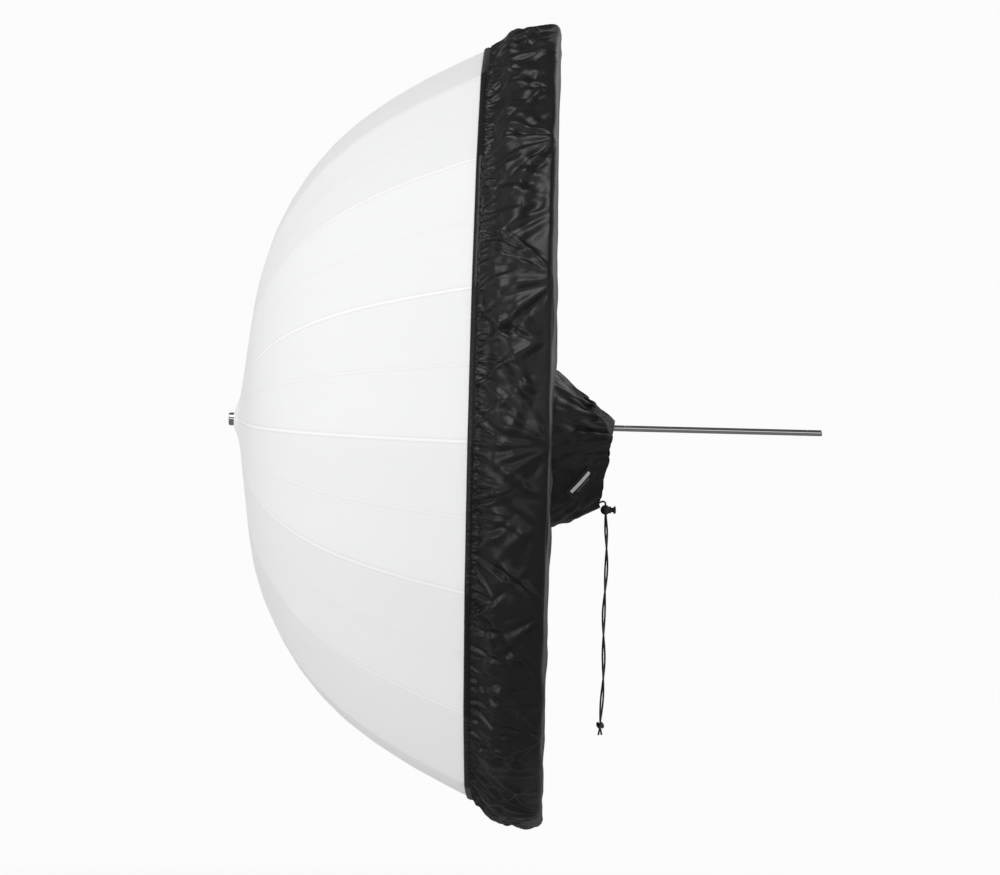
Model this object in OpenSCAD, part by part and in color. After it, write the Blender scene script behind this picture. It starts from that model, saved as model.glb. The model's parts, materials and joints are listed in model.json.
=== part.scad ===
// Umbrella reflector: a deep translucent umbrella with sixteen ribs and an elastic
// back panel that closes round a lamp head.
// The origin is on the shaft axis at the ring seam where the tube ends and its end
// cap begins. +X runs out of that free end, +Z is up, and the dome is towards -X.

/* [Model] */
// sub-part to draw

/* [Canopy] */
// angle of the first rib from straight up, about the shaft
first_rib_angle = -2.6; // [-11:0.1:11]
// thickness of the canopy and back panel cloth as solid skins
cloth_t = 0.9; // [0.7:0.1:1.1]

/* [Shaft] */
// outside diameter of the shaft tube
shaft_d = 8; // [7:0.5:9]
// wall of the shaft tube
shaft_wall = 0.8; // [0.6:0.1:1.2]
// length of the shaft tube behind the nose of the canopy
shaft_reach = 759.4; // [740:0.1:800]
// clear length of tube behind its guide ring, for a clamp
clamp_l = 240; // [200:5:245]

/* [Ribs] */
// diameter of the glass fibre rib rods
rib_d = 3; // [2.4:0.1:3.4]
// diameter of the stretcher rods
stretcher_d = 2.6; // [2.2:0.1:3]
// diameter of the ball on each rib tip
tip_ball_d = 7; // [6:0.5:8]

/* [Runner] */
// diameter of the runner grip
grip_d = 22; // [20:1:24]
// length of the runner grip
grip_l = 52; // [46:1:60]
// radial clearance between the runner and the shaft
runner_clear = 0.05; // [0.02:0.01:0.1]

/* [Back panel] */
// diameter of the back panel's rim band, which goes round the rib tips
panel_d = 1050; // [1049:1:1052]
// diameter of the sleeve mouth that closes round the lamp head
sleeve_mouth_d = 112; // [100:1:120]
// diameter of the sleeve where it is sewn to the panel
sleeve_base_d = 210; // [190:1:220]

/* [Hidden] */

rib_count = 16;
rib_pitch = 360 / rib_count;
u0 = -shaft_reach;
shaft_r = shaft_d / 2;
gap = 0.05;

// the rib's curve, in (u, rho): u runs back from the nose, rho out from the shaft
pivot_u = 10.5;
pivot_rho = 14;
straight_l = 150;
lead_angle = 82;
bend_r1 = 369;
mid_angle = 34;
bend_r2 = 858;
tip_angle = 18.2;
bend1_turn = lead_angle - mid_angle;
bend2_turn = mid_angle - tip_angle;
bend1_l = bend_r1 * bend1_turn * PI / 180;
bend2_l = bend_r2 * bend2_turn * PI / 180;
rib_l = straight_l + bend1_l + bend2_l;

// turn of the first bend that belongs to the inner rib
joint_turn = 18.9;
joint_s = straight_l + bend_r1 * joint_turn * PI / 180;
joint_angle = lead_angle - joint_turn;

// position along the rib at arc length s, and its heading from the +u axis
function heading(s) = s <= straight_l ? lead_angle
    : s <= straight_l + bend1_l ? lead_angle - (s - straight_l) / bend_r1 * 180 / PI
    : mid_angle - (s - straight_l - bend1_l) / bend_r2 * 180 / PI;
function arc_move(r, a, b) = [r * (sin(a) - sin(b)), r * (cos(b) - cos(a))];
pivot_pt = [pivot_u, pivot_rho];
bend1_pt = pivot_pt + straight_l * [cos(lead_angle), sin(lead_angle)];
bend2_pt = bend1_pt + arc_move(bend_r1, lead_angle, mid_angle);
function rib_pt(s) = s <= straight_l ? pivot_pt + s * [cos(lead_angle), sin(lead_angle)]
    : s <= straight_l + bend1_l ? bend1_pt + arc_move(bend_r1, lead_angle, heading(s))
    : bend2_pt + arc_move(bend_r2, mid_angle, heading(s));
// a point offset outward from the rib by d
function rib_off(s, d) = rib_pt(s) + d * [-sin(heading(s)), cos(heading(s))];
joint_pt = rib_pt(joint_s);

// stretcher pivots: the lug under the rib joint, and the runner
lug_back = 9;
lug_drop = 6;
lug_pt = rib_off(joint_s - lug_back, -lug_drop);
runner_u = 130;
runner_rho = 14;
stretch_dir = [runner_u, runner_rho] - lug_pt;
stretch_l = norm(stretch_dir);
stretch_angle = atan2(stretch_dir[1], stretch_dir[0]);

// joint hardware
eye_r = 2.4;
blade_t = 1.6;
cheek_t = 0.8;
fork_in = blade_t + 0.2;
fork_out = fork_in + 2 * cheek_t;
wire_r = 0.6;
wire_hole_r = 0.7;
rivet_r = 0.9;
rivet_hole_r = 0.96;
tie_l = 6;
tie_wall = 0.5;
eye_blade_w = 2.6;
joint_blade_w = 3.4;
lug_w = 4.4;
through = 4;
rivet_proud = 0.8;
fork_root = 5;
fork_slot_l = 9;
// clear ends that keep rods just apart where a tie collar covers them
rod_gap = 0.1;
turn_gap = 0.03;

// runner latch
latch_u = runner_u + 20;
latch_z = 8.2;
latch_w = 6;
latch_l = 22;
latch_pin_r = 1;
latch_pin_hole_r = 1.06;
latch_pin_l = 14;
latch_side_gap = 0.3;

// back panel: rim band from its front hem to the disc, and the sleeve below centre
panel_r = panel_d / 2;
panel_disc_u = 424;
hem_s = 610;
hem_w = 22;
disc_in = 20;
base_drop = 28;
mouth_drop = 46.5;
mouth_tilt = 9.7;
sleeve_l = 71.5;

// cord and cord lock
cord_r = 1.25;
cord_y = 1.6;
cord_hole_r = cord_r + 0.05;
tail_end_z = -402;
knot_z = -394;
knot_d = 9;
lock_u = 495;
lock_z = -108.5;
lock_r = 6.5;
lock_travel = 3;
plunger_r = 3.2;
lock_floor = 1.4;

// puts 2-D (u, rho) work drawn in the XZ plane at its place on the shaft
module at_u(u) {
    translate([u0 + u, 0, 0]) children();
}

// copies for every rib: the rib plane is turned about the shaft
module at_rib(i) {
    rotate([-(first_rib_angle + (i - 1) * rib_pitch), 0, 0]) children();
}

// a length of rod in the rib plane from a point along a heading
module rod(pt, a, l, r) {
    at_u(pt[0]) translate([0, 0, pt[1]]) rotate([0, 90 - a, 0]) cylinder(r = r, h = l);
}

// a flat plate across the rib plane, from a point along a heading
module blade(pt, a, l, w, t) {
    at_u(pt[0]) translate([0, 0, pt[1]]) rotate([0, 90 - a, 0])
        translate([-w / 2, -t / 2, 0]) cube([w, t, l]);
}

// a disc across the rib plane
module disc(pt, r, t) {
    at_u(pt[0]) translate([0, 0, pt[1]]) rotate([90, 0, 0])
        cylinder(r = r, h = t, center = true, $fn = 32);
}

// a bent length of rod: starts at pt with heading a, radius of bend r, turn w
module bent_rod(pt, a, r, w, rod_r) {
    centre = pt + r * [sin(a), -cos(a)];
    at_u(centre[0]) translate([0, 0, centre[1]]) rotate([90, 0, 0])
        rotate([0, 0, 90 + a - w])
            rotate_extrude(angle = w, $fn = 180)
                translate([r, 0]) circle(r = rod_r, $fn = 24);
}

// chrome tube with a fine guide ring that marks the start of the clamping length
module shaft() {
    nose_in = 5.5;
    ring_depth = 0.25;
    color("silver")
    at_u(0) rotate([0, 90, 0]) rotate_extrude($fn = 64)
        polygon([[shaft_r - shaft_wall, -nose_in], [shaft_r, -nose_in],
            [shaft_r, shaft_reach - clamp_l - 1],
            [shaft_r - ring_depth, shaft_reach - clamp_l - 0.75],
            [shaft_r - ring_depth, shaft_reach - clamp_l - 0.25],
            [shaft_r, shaft_reach - clamp_l],
            [shaft_r, shaft_reach], [shaft_r - shaft_wall, shaft_reach]]);
}

// end cap of the tube's own diameter, with a plug inside the tube
module shaft_end_cap() {
    cap_l = 20;
    seam_w = 0.75;
    seam_depth = 0.3;
    edge = 0.9;
    plug_l = 14;
    color("silver")
    rotate([0, 90, 0]) rotate_extrude($fn = 64)
        polygon([[0, -plug_l], [shaft_r - shaft_wall - gap, -plug_l],
            [shaft_r - shaft_wall - gap, gap], [shaft_r - seam_depth, gap],
            [shaft_r - seam_depth, seam_w - 0.2], [shaft_r, seam_w], [shaft_r, cap_l - edge],
            [shaft_r - edge, cap_l], [0, cap_l]]);
}

// turned nose piece in front of the cloth, pushed over the tube
module ferrule() {
    r = 8.5;
    l = 7.2;
    spigot_r = 6.2;
    spigot_l = 5.2;
    face_t = 1.6;
    bore_r = shaft_r + gap;
    color("silver")
    at_u(-l) rotate([0, 90, 0]) rotate_extrude($fn = 64)
        polygon([[0, 0], [r - 1.2, 0], [r, 1.2], [r, l - 0.4], [r - 0.4, l],
            [spigot_r, l], [spigot_r, l + spigot_l], [bore_r, l + spigot_l],
            [bore_r, face_t], [0, face_t]]);
}

// slotted hub on the nose end of the shaft, with the wire ring the ribs hang on
module crown() {
    hub_r = 16.4;
    front_u = 6.6;
    back_u = 17.4;
    slot_w = 2;
    slot_floor = 11.2;
    front_wall = 1.3;
    boss_r = 9;
    boss_l = 0.9;
    neck_l = 8;
    color("dimgray") {
        difference() {
            at_u(front_u) rotate([0, 90, 0]) rotate_extrude($fn = 96)
                polygon([[shaft_r + gap, -boss_l], [boss_r, -boss_l], [hub_r - 1, 0], [hub_r, 1],
                    [hub_r, back_u - front_u], [boss_r + 0.5, back_u - front_u],
                    [boss_r - 1, back_u - front_u + neck_l],
                    [shaft_r + gap, back_u - front_u + neck_l]]);
            for (i = [1 : rib_count])
                at_rib(i) at_u(front_u + front_wall) translate([0, -slot_w / 2, slot_floor])
                    cube([30, slot_w, hub_r - slot_floor + 1]);
            at_u(pivot_u) rotate([0, 90, 0]) rotate_extrude($fn = 96)
                translate([pivot_rho, 0]) circle(r = wire_r + gap, $fn = 16);
        }
        at_u(pivot_u) rotate([0, 90, 0]) rotate_extrude($fn = 96)
            translate([pivot_rho, 0]) circle(r = wire_r, $fn = 16);
    }
}

// inner length of a rib: eye, flat root, rod, cloth tie and the two-way joint clip
module rib_inner(i) {
    rod_start = 9;
    root_overlap = 4;
    clip_l = 15;
    clip_r = 2.5;
    clip_s = joint_s - clip_l - 4;
    joint_blade_l = 7;
    // the bent rod stops this many degrees short of the joint
    short_turn = 0.9;
    color("whitesmoke")
    at_rib(i) difference() {
        union() {
            disc(pivot_pt, eye_r, blade_t);
            blade(pivot_pt, lead_angle, rod_start + root_overlap, eye_blade_w, blade_t);
            rod(rib_pt(rod_start), lead_angle, straight_l - rod_start - rod_gap, rib_d / 2);
            rod(rib_pt(straight_l - tie_l / 2), lead_angle, tie_l, rib_d / 2 + tie_wall);
            bent_rod(bend1_pt, lead_angle, bend_r1, joint_turn - short_turn, rib_d / 2);
            rod(rib_pt(clip_s), heading(clip_s + clip_l / 2), clip_l, clip_r);
            blade(rib_pt(joint_s - joint_blade_l), joint_angle, joint_blade_l, joint_blade_w, blade_t);
            disc(joint_pt, eye_r, blade_t);
            blade(rib_pt(joint_s - lug_back), joint_angle - 90, lug_drop, lug_w, blade_t);
            disc(lug_pt, eye_r, blade_t);
        }
        disc(pivot_pt, wire_hole_r, through);
        disc(joint_pt, rivet_hole_r, through);
        disc(lug_pt, rivet_hole_r, through);
    }
}

// outer length of a rib: fork and rivet, bent rod, cloth tie, ball tip
module rib_outer(i) {
    fork_l = 12;
    rod_s = joint_s + 9;
    color("whitesmoke")
    at_rib(i) {
        difference() {
            union() {
                disc(joint_pt, eye_r, fork_out);
                blade(joint_pt, joint_angle, fork_l, 2 * eye_r, fork_out);
            }
            at_u(joint_pt[0]) translate([0, 0, joint_pt[1]]) rotate([0, 90 - joint_angle, 0])
                translate([-fork_root, -fork_in / 2, -fork_root])
                    cube([2 * fork_root, fork_in, fork_slot_l]);
        }
        disc(joint_pt, rivet_r, fork_out + rivet_proud);
        bent_rod(rib_pt(rod_s), heading(rod_s), bend_r1, heading(rod_s) - mid_angle - turn_gap,
            rib_d / 2);
        rod(rib_pt(straight_l + bend1_l - tie_l / 2), mid_angle, tie_l, rib_d / 2 + tie_wall);
        bent_rod(bend2_pt, mid_angle, bend_r2, bend2_turn, rib_d / 2);
        at_u(rib_pt(rib_l)[0]) translate([0, 0, rib_pt(rib_l)[1]])
            sphere(d = tip_ball_d, $fn = 32);
    }
}

// stretcher: fork and rivet on the rib lug, rod, flat end in the runner's groove
module stretcher(i) {
    fork_l = 11;
    fork_w = 4;
    rod_start = 10;
    flat_l = 10;
    flat_w = 2.8;
    flat_t = 1.4;
    flat_end_r = 2;
    overlap = 2;
    color("gray")
    at_rib(i) {
        difference() {
            union() {
                disc(lug_pt, eye_r, fork_out);
                blade(lug_pt, stretch_angle, fork_l, fork_w, fork_out);
            }
            at_u(lug_pt[0]) translate([0, 0, lug_pt[1]]) rotate([0, 90 - stretch_angle, 0])
                translate([-fork_root, -fork_in / 2, -fork_root])
                    cube([2 * fork_root, fork_in, fork_slot_l]);
        }
        disc(lug_pt, rivet_r, fork_out + rivet_proud);
        rod(lug_pt + rod_start * [cos(stretch_angle), sin(stretch_angle)], stretch_angle,
            stretch_l - rod_start - flat_l + overlap, stretcher_d / 2);
        blade([runner_u, runner_rho], stretch_angle + 180, flat_l, flat_w, flat_t);
        disc([runner_u, runner_rho], flat_end_r, flat_t);
    }
}

// grooved head and finger grip that slide on the shaft
module runner() {
    head_r = 17;
    head_u = runner_u - 7;
    waist = 2;
    head_l = 15;
    groove_w = 2;
    groove_floor = 11;
    grip_r = grip_d / 2;
    color([0.08, 0.08, 0.09])
    difference() {
        at_u(head_u) rotate([0, 90, 0]) rotate_extrude($fn = 96)
            polygon([[shaft_r + runner_clear, 0], [head_r - 1, 0], [head_r, 1],
                [head_r, head_l - 1], [head_r - 1, head_l], [grip_r, head_l],
                [grip_r, head_l + grip_l * 0.3], [grip_r - waist, head_l + grip_l * 0.45],
                [grip_r - waist, head_l + grip_l * 0.75], [grip_r, head_l + grip_l * 0.92],
                [grip_r, head_l + grip_l - 1], [grip_r - 1, head_l + grip_l],
                [shaft_r + runner_clear, head_l + grip_l]]);
        for (i = [1 : rib_count])
            at_rib(i) at_u(head_u - 1) translate([0, -groove_w / 2, groove_floor])
                cube([head_l + 2, groove_w, head_r]);
        latch_space();
        at_u(latch_u) translate([0, 0, latch_z]) rotate([90, 0, 0])
            cylinder(r = latch_pin_hole_r, h = 2 * grip_d, center = true, $fn = 32);
    }
}

// pocket in the grip for the rocking latch
module latch_space() {
    pocket_l = latch_l + 3;
    pocket_w = latch_w + 2 * latch_side_gap;
    floor_t = 1.2;
    toe_l = 8;
    at_u(latch_u - pocket_l / 2) translate([0, -pocket_w / 2, shaft_r + floor_t])
        cube([pocket_l, pocket_w, 20]);
    at_u(latch_u - pocket_l / 2) translate([0, -pocket_w / 2, shaft_r - 1])
        cube([toe_l, pocket_w, toe_l]);
}

// rocking thumb latch with its pivot pin
module runner_latch() {
    toe_l = 3;
    toe_z = shaft_r + 0.15;
    underside = 6.9;
    color([0.25, 0.25, 0.27])
    union() {
        at_u(latch_u - latch_l / 2) translate([0, -latch_w / 2, 0])
            rotate([90, 0, 0]) mirror([0, 0, 1]) linear_extrude(latch_w)
                polygon([[0, toe_z], [toe_l, toe_z], [toe_l + 1, underside],
                    [latch_l / 2 + 3, underside], [latch_l, 8.6], [latch_l, 11.4],
                    [latch_l - 1, 12.2], [latch_l / 2, 10.6], [0, 10.2]]);
        at_u(latch_u) translate([0, 0, latch_z]) rotate([90, 0, 0])
            cylinder(r = latch_pin_r, h = latch_pin_l, center = true, $fn = 32);
    }
}

// the cloth's profile on a rib line, (u, rho), lying d outside the rib
cloth_off = rib_d / 2 + 1.8 + cloth_t;
cloth_s = [22, 60, 105, 150, 195, 240, 285, 330, 375, 420, 470, 530, 600, 660, 694];
nose_outer = [[0, 9.9], [4.2, 18.6]];
nose_inner = [[0.4, 9.1], [5, 18]];
function cloth_pts(nose, d) = concat(nose, [for (s = cloth_s) rib_off(s, d)]);

// canopy cloth: two skins and a hem, dipping slightly between the ribs
module canopy() {
    outer = cloth_pts(nose_outer, cloth_off);
    inner = cloth_pts(nose_inner, cloth_off - cloth_t);
    rows = len(outer);
    cols = 2 * rib_count;
    skin = rows * cols;
    gore_dip = 0.988;
    nose_rows = 3;
    function ring_pt(p, k, j) = let (
        a = first_rib_angle + j * rib_pitch / 2,
        rho = p[1] * (j % 2 == 0 || k < nose_rows ? 1 : gore_dip)
    ) [u0 + p[0], rho * sin(a), rho * cos(a)];
    function at(k, j) = k * cols + j % cols;
    function quad(a, b, c, d) = [[a, b, c], [a, c, d]];
    points = concat(
        [for (k = [0 : rows - 1]) for (j = [0 : cols - 1]) ring_pt(outer[k], k, j)],
        [for (k = [0 : rows - 1]) for (j = [0 : cols - 1]) ring_pt(inner[k], k, j)]);
    faces = [for (j = [0 : cols - 1]) each concat(
        [for (k = [0 : rows - 2]) each
            quad(at(k, j), at(k, j + 1), at(k + 1, j + 1), at(k + 1, j))],
        [for (k = [0 : rows - 2]) each
            quad(skin + at(k, j), skin + at(k + 1, j),
                skin + at(k + 1, j + 1), skin + at(k, j + 1))],
        quad(at(0, j), skin + at(0, j), skin + at(0, j + 1), at(0, j + 1)),
        quad(at(rows - 1, j), at(rows - 1, j + 1),
            skin + at(rows - 1, j + 1), skin + at(rows - 1, j)))];
    color([0.95, 0.95, 0.95, 0.6]) polyhedron(points, faces, convexity = 10);
}

// black back panel: rim band, disc with the lamp opening, and the tapered sleeve
module back_panel() {
    sleeve_wall = 1.4 * cloth_t;
    cut_over = 3;
    color([0.1, 0.1, 0.11])
    difference() {
        union() {
            at_u(0) rotate([0, 90, 0]) rotate_extrude($fn = 96) panel_section();
            sleeve_cone(0, 0);
        }
        sleeve_cone(sleeve_wall, cut_over);
    }
}

// half section of the rim band and disc in (rho, u), a skin cloth_t thick
module panel_section() {
    t = cloth_t;
    r = panel_r;
    over_canopy = 0.6;
    lie = cloth_off + over_canopy;
    hem_a = rib_off(hem_s, lie);
    hem_b = rib_off(hem_s + hem_w, lie);
    hem_c = rib_off(hem_s, lie + t);
    hem_d = rib_off(hem_s + hem_w, lie + t);
    polygon([[hem_c[1], hem_c[0]], [hem_d[1], hem_d[0]],
        [r - 2, panel_disc_u - 71], [r + 6, panel_disc_u - 48], [r + 9, panel_disc_u - 19],
        [r - 4, panel_disc_u - 4], [r - 14, panel_disc_u], [disc_in, panel_disc_u],
        [disc_in, panel_disc_u - t], [r - 14.3, panel_disc_u - t],
        [r - 4.6, panel_disc_u - 4.7], [r + 9 - t, panel_disc_u - 19.4],
        [r + 6 - t, panel_disc_u - 47.8], [r - 2.5 - t, panel_disc_u - 70.5],
        [hem_b[1], hem_b[0]], [hem_a[1], hem_a[0]]]);
}

// tapered sleeve: a disc at the panel and a tilted disc at the mouth, drawn t thinner
// in the wall and longer by over at both ends along the same slopes
module sleeve_cone(t, over) {
    grow = over / sleeve_l;
    fall = mouth_drop - base_drop;
    thin = (sleeve_base_d - sleeve_mouth_d) / 2;
    rim_t = 0.2;
    hull() {
        at_u(panel_disc_u - cloth_t - over) translate([0, 0, -base_drop + fall * grow])
            rotate([0, 90, 0])
                cylinder(r = sleeve_base_d / 2 + thin * grow - t, h = rim_t, $fn = 48);
        at_u(panel_disc_u + sleeve_l + over) translate([0, 0, -mouth_drop - fall * grow])
            rotate([0, 90 + mouth_tilt, 0]) translate([0, 0, -rim_t])
                cylinder(r = sleeve_mouth_d / 2 - thin * grow - t, h = rim_t, $fn = 48);
    }
}

// cord in the sleeve hem, two hanging tails and the knot that ties their ends
module drawcord() {
    ring_r = sleeve_mouth_d / 2 - cloth_t - cord_r - 0.6;
    ring_in = 3;
    ring_u = panel_disc_u + sleeve_l - ring_in * cos(mouth_tilt);
    ring_z = -mouth_drop;
    turn_u = ring_u - ring_r * sin(mouth_tilt);
    turn_z = ring_z - ring_r * cos(mouth_tilt);
    color([0.05, 0.05, 0.05])
    union() {
        at_u(ring_u) translate([0, 0, ring_z]) rotate([0, 90 + mouth_tilt, 0])
            rotate_extrude($fn = 96) translate([ring_r, 0]) circle(r = cord_r, $fn = 16);
        for (side = [-1, 1]) {
            at_u(turn_u) translate([0, side * cord_y, turn_z]) rotate([0, 90, 0])
                cylinder(r = cord_r, h = lock_u - turn_u, $fn = 24);
            at_u(lock_u) translate([0, side * cord_y, turn_z]) sphere(r = cord_r, $fn = 24);
            at_u(lock_u) translate([0, side * cord_y, tail_end_z])
                cylinder(r = cord_r, h = turn_z - tail_end_z, $fn = 24);
        }
        at_u(lock_u) translate([0, 0, knot_z]) sphere(d = knot_d, $fn = 32);
    }
}

// ball-shaped lock body: cord bores, and the pocket the button slides in
module cord_lock_body() {
    neck_wall = 1.4;
    slide_gap = 0.06;
    color([0.09, 0.09, 0.1])
    difference() {
        union() {
            lock_at(0) sphere(r = lock_r, $fn = 48);
            lock_at(0) rotate([0, 90, 0])
                cylinder(r = plunger_r + neck_wall, h = lock_r + 1, $fn = 48);
        }
        lock_at(-lock_r + lock_floor) rotate([0, 90, 0])
            cylinder(r = plunger_r + slide_gap, h = 3 * lock_r, $fn = 48);
        for (side = [-1, 1])
            lock_at(0) translate([0, side * cord_y, 0])
                cylinder(r = cord_hole_r, h = 3 * lock_r, center = true, $fn = 32);
    }
}

// button with its slotted plunger
module cord_lock_button() {
    slot_l = 2 * cord_r + 3.4;
    slot_w = 2 * (cord_y + cord_r + 0.2);
    slot_h = 16;
    head_u = lock_r + 1 + lock_travel + 0.3;
    plunger_back = 1.9;
    color([0.09, 0.09, 0.1])
    difference() {
        union() {
            lock_at(-plunger_back) rotate([0, 90, 0])
                cylinder(r = plunger_r, h = head_u + plunger_back + 0.1, $fn = 48);
            lock_at(head_u) rotate([0, 90, 0]) rotate_extrude($fn = 48)
                polygon([[0, 0], [4.6, 0], [5, 0.4], [5, 2.2], [4, 3], [0, 3.3]]);
        }
        lock_at(-cord_r - 0.25) translate([0, -slot_w / 2, -slot_h / 2])
            cube([slot_l, slot_w, slot_h]);
    }
}

// coil spring behind the plunger
module cord_lock_spring() {
    coil_r = 2;
    spring_wire_r = 0.3;
    turns = 3;
    steps = 20;
    sides = 8;
    length = 2.2;
    start = -lock_r + lock_floor + spring_wire_r + 0.1;
    n = turns * steps;
    points = [for (k = [0 : n]) for (q = [0 : sides - 1]) let (
        a = k * 360 / steps,
        b = q * 360 / sides,
        r = coil_r + spring_wire_r * cos(b)
    ) [start + length * k / n + spring_wire_r * sin(b), r * sin(a), r * cos(a)]];
    faces = concat(
        [for (k = [0 : n - 1]) for (q = [0 : sides - 1]) let (p = (q + 1) % sides)
            each [[k * sides + q, k * sides + p, (k + 1) * sides + p],
                [k * sides + q, (k + 1) * sides + p, (k + 1) * sides + q]]],
        [[for (q = [sides - 1 : -1 : 0]) q]],
        [[for (q = [0 : sides - 1]) n * sides + q]]);
    color("silver") lock_at(0) polyhedron(points, faces);
}

// puts work at a distance behind the centre of the cord lock
module lock_at(d) {
    at_u(lock_u + d) translate([0, 0, lock_z]) children();
}

// one sub-part for each rib and stretcher, counted round from the top
module rib_inner_01() {
    rib_inner(1);
}
module rib_inner_02() {
    rib_inner(2);
}
module rib_inner_03() {
    rib_inner(3);
}
module rib_inner_04() {
    rib_inner(4);
}
module rib_inner_05() {
    rib_inner(5);
}
module rib_inner_06() {
    rib_inner(6);
}
module rib_inner_07() {
    rib_inner(7);
}
module rib_inner_08() {
    rib_inner(8);
}
module rib_inner_09() {
    rib_inner(9);
}
module rib_inner_10() {
    rib_inner(10);
}
module rib_inner_11() {
    rib_inner(11);
}
module rib_inner_12() {
    rib_inner(12);
}
module rib_inner_13() {
    rib_inner(13);
}
module rib_inner_14() {
    rib_inner(14);
}
module rib_inner_15() {
    rib_inner(15);
}
module rib_inner_16() {
    rib_inner(16);
}
module rib_outer_01() {
    rib_outer(1);
}
module rib_outer_02() {
    rib_outer(2);
}
module rib_outer_03() {
    rib_outer(3);
}
module rib_outer_04() {
    rib_outer(4);
}
module rib_outer_05() {
    rib_outer(5);
}
module rib_outer_06() {
    rib_outer(6);
}
module rib_outer_07() {
    rib_outer(7);
}
module rib_outer_08() {
    rib_outer(8);
}
module rib_outer_09() {
    rib_outer(9);
}
module rib_outer_10() {
    rib_outer(10);
}
module rib_outer_11() {
    rib_outer(11);
}
module rib_outer_12() {
    rib_outer(12);
}
module rib_outer_13() {
    rib_outer(13);
}
module rib_outer_14() {
    rib_outer(14);
}
module rib_outer_15() {
    rib_outer(15);
}
module rib_outer_16() {
    rib_outer(16);
}
module stretcher_01() {
    stretcher(1);
}
module stretcher_02() {
    stretcher(2);
}
module stretcher_03() {
    stretcher(3);
}
module stretcher_04() {
    stretcher(4);
}
module stretcher_05() {
    stretcher(5);
}
module stretcher_06() {
    stretcher(6);
}
module stretcher_07() {
    stretcher(7);
}
module stretcher_08() {
    stretcher(8);
}
module stretcher_09() {
    stretcher(9);
}
module stretcher_10() {
    stretcher(10);
}
module stretcher_11() {
    stretcher(11);
}
module stretcher_12() {
    stretcher(12);
}
module stretcher_13() {
    stretcher(13);
}
module stretcher_14() {
    stretcher(14);
}
module stretcher_15() {
    stretcher(15);
}
module stretcher_16() {
    stretcher(16);
}

shaft();
shaft_end_cap();
ferrule();
crown();
canopy();
runner();
runner_latch();
back_panel();
drawcord();
cord_lock_body();
cord_lock_button();
cord_lock_spring();
rib_inner_01();
rib_inner_02();
rib_inner_03();
rib_inner_04();
rib_inner_05();
rib_inner_06();
rib_inner_07();
rib_inner_08();
rib_inner_09();
rib_inner_10();
rib_inner_11();
rib_inner_12();
rib_inner_13();
rib_inner_14();
rib_inner_15();
rib_inner_16();
rib_outer_01();
rib_outer_02();
rib_outer_03();
rib_outer_04();
rib_outer_05();
rib_outer_06();
rib_outer_07();
rib_outer_08();
rib_outer_09();
rib_outer_10();
rib_outer_11();
rib_outer_12();
rib_outer_13();
rib_outer_14();
rib_outer_15();
rib_outer_16();
stretcher_01();
stretcher_02();
stretcher_03();
stretcher_04();
stretcher_05();
stretcher_06();
stretcher_07();
stretcher_08();
stretcher_09();
stretcher_10();
stretcher_11();
stretcher_12();
stretcher_13();
stretcher_14();
stretcher_15();
stretcher_16();
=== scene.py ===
import json
import math

import bpy
import numpy as np
from mathutils import Matrix, Vector
from mathutils.bvhtree import BVHTree


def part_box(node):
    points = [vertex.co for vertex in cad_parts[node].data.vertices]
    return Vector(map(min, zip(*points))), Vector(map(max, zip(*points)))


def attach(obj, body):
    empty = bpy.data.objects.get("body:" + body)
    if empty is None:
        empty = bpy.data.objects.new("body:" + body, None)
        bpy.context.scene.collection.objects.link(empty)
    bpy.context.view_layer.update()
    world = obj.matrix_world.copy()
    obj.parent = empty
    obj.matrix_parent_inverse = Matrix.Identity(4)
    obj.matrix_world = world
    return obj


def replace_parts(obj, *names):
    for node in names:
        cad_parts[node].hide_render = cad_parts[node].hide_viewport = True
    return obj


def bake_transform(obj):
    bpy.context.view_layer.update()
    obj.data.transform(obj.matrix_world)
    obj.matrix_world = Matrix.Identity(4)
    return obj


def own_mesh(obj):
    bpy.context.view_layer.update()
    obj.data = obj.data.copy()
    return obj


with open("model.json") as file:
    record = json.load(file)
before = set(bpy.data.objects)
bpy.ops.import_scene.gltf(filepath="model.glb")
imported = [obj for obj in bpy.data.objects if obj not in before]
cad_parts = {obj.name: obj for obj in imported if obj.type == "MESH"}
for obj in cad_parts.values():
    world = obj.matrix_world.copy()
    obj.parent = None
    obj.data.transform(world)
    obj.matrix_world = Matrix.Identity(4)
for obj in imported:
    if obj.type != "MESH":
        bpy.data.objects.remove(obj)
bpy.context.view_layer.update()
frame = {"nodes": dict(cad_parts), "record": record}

rng = np.random.default_rng(7)
JOINTS = {joint["name"]: joint for joint in frame["record"]["behaviour"]["joints"]}
RIB_COUNT = 16
RIBS = range(1, RIB_COUNT + 1)
PITCH = 2 * math.pi / RIB_COUNT


def rib_hinge(kind, i):
    return JOINTS[f"{kind}_{i:02d}_hinge"]


def azimuth(point):
    """Angle round the shaft, from straight up towards +Y."""
    return math.atan2(point[1], point[2])


FIRST_AZ = azimuth(rib_hinge("rib_inner", 1)["pos_m"])
KNEE = np.array(rib_hinge("rib_outer", 1)["pos_m"])
RIM_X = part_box("canopy")[1].x
TIP_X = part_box("rib_outer_05")[1].x

# ---------------------------------------------------------------- shader calls


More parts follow.
